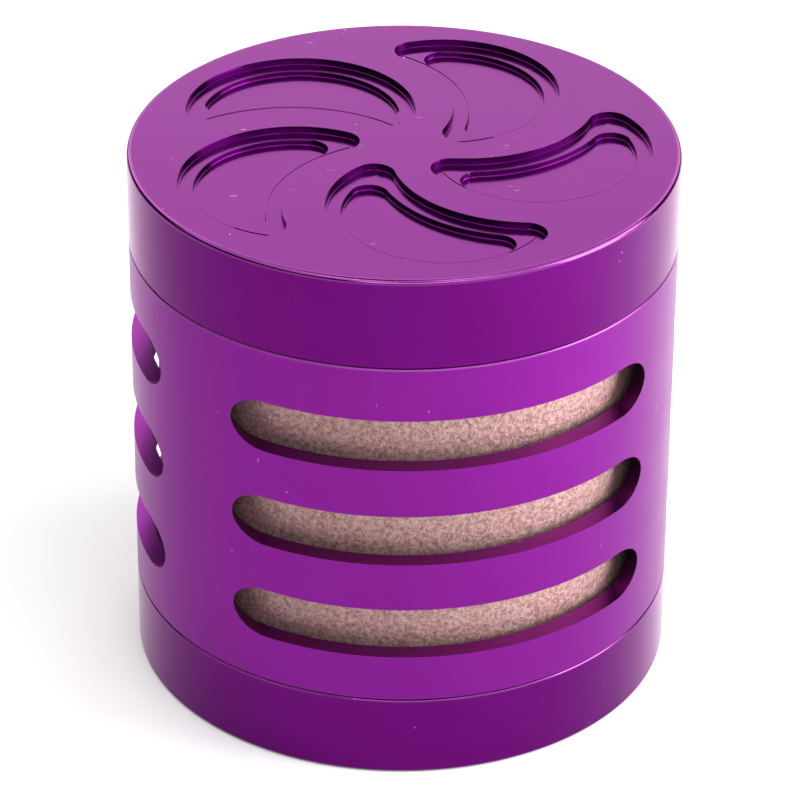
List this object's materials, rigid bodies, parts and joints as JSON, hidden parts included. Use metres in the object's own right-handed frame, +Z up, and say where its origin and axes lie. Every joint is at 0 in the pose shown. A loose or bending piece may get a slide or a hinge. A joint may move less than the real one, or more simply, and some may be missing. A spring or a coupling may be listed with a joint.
{
  "type": "herb grinder",
  "caption": "Turned metal herb grinder: toothed lid and tooth plate over a slotted sleeve round a copper-coloured drum, with a fine screen above a screw-on cup.",
  "frame": {"origin": "centre of the cup's underside, on the grinder's own axis", "axes": "+Z up along the grinder's axis, towards the lid; -Y through the middle of one of the three windows"},
  "size_m": [0.063, 0.063, 0.0645],
  "materials": {
    "purple_anodised": "satin anodised",
    "copper_anodised": "sand textured",
    "steel": "brushed",
    "nickel_plated": "plated",
    "nylon": "matte",
    "black_rubber": "matte"
  },
  "bodies": {
    "cup": {"bottom_cup": "purple_anodised"},
    "scraper": {"scraper": "steel"},
    "cup_seal": {"cup_seal_ring": "black_rubber"},
    "sleeve": {"windowed_sleeve": "purple_anodised", "drum_lower_gasket": "black_rubber", "inner_drum": "copper_anodised", "drum_upper_gasket": "black_rubber", "screen_mesh": "steel", "screen_frame": "steel", "screen_snap_ring": "steel"},
    "plate_seal": {"plate_seal_ring": "black_rubber"},
    "plate": {"tooth_plate": "purple_anodised", "plate_magnet": "nickel_plated", "plate_magnet_cap": "nylon"},
    "glide": {"glide_ring": "nylon"},
    "lid": {"lid": "purple_anodised", "lid_magnet": "nickel_plated", "lid_magnet_cap": "nylon"}
  },
  "joints": [
    {"name": "scraper_lift", "type": "slide", "parent": "cup", "child": "scraper", "axis": [0, 0, 1], "range_m": [0, 0.005]},
    {"name": "sleeve_rise", "type": "slide", "parent": "cup", "child": "cup_seal", "axis": [0, 0, 1], "range_m": [0, 0.0038]},
    {"name": "sleeve_unscrew", "type": "hinge", "parent": "cup_seal", "child": "sleeve", "pos_m": [0, 0, 0.01], "axis": [0, 0, 1], "range_deg": [0, 900]},
    {"name": "plate_rise", "type": "slide", "parent": "sleeve", "child": "plate_seal", "axis": [0, 0, 1], "range_m": [0, 0.00605]},
    {"name": "plate_unscrew", "type": "hinge", "parent": "plate_seal", "child": "plate", "pos_m": [0, 0, 0.05], "axis": [0, 0, 1], "range_deg": [0, 1440]},
    {"name": "lid_lift", "type": "slide", "parent": "plate", "child": "glide", "axis": [0, 0, 1], "range_m": [0, 0.02]},
    {"name": "lid_turn", "type": "hinge", "parent": "glide", "child": "lid", "pos_m": [0, 0, 0.06], "axis": [0, 0, 1], "continuous": true}
  ],
  "couplings": [
    {"joint": "sleeve_rise", "follows": "sleeve_unscrew", "m_per_rad": 0.00023873},
    {"joint": "plate_rise", "follows": "plate_unscrew", "m_per_rad": 0.00023873}
  ]
}
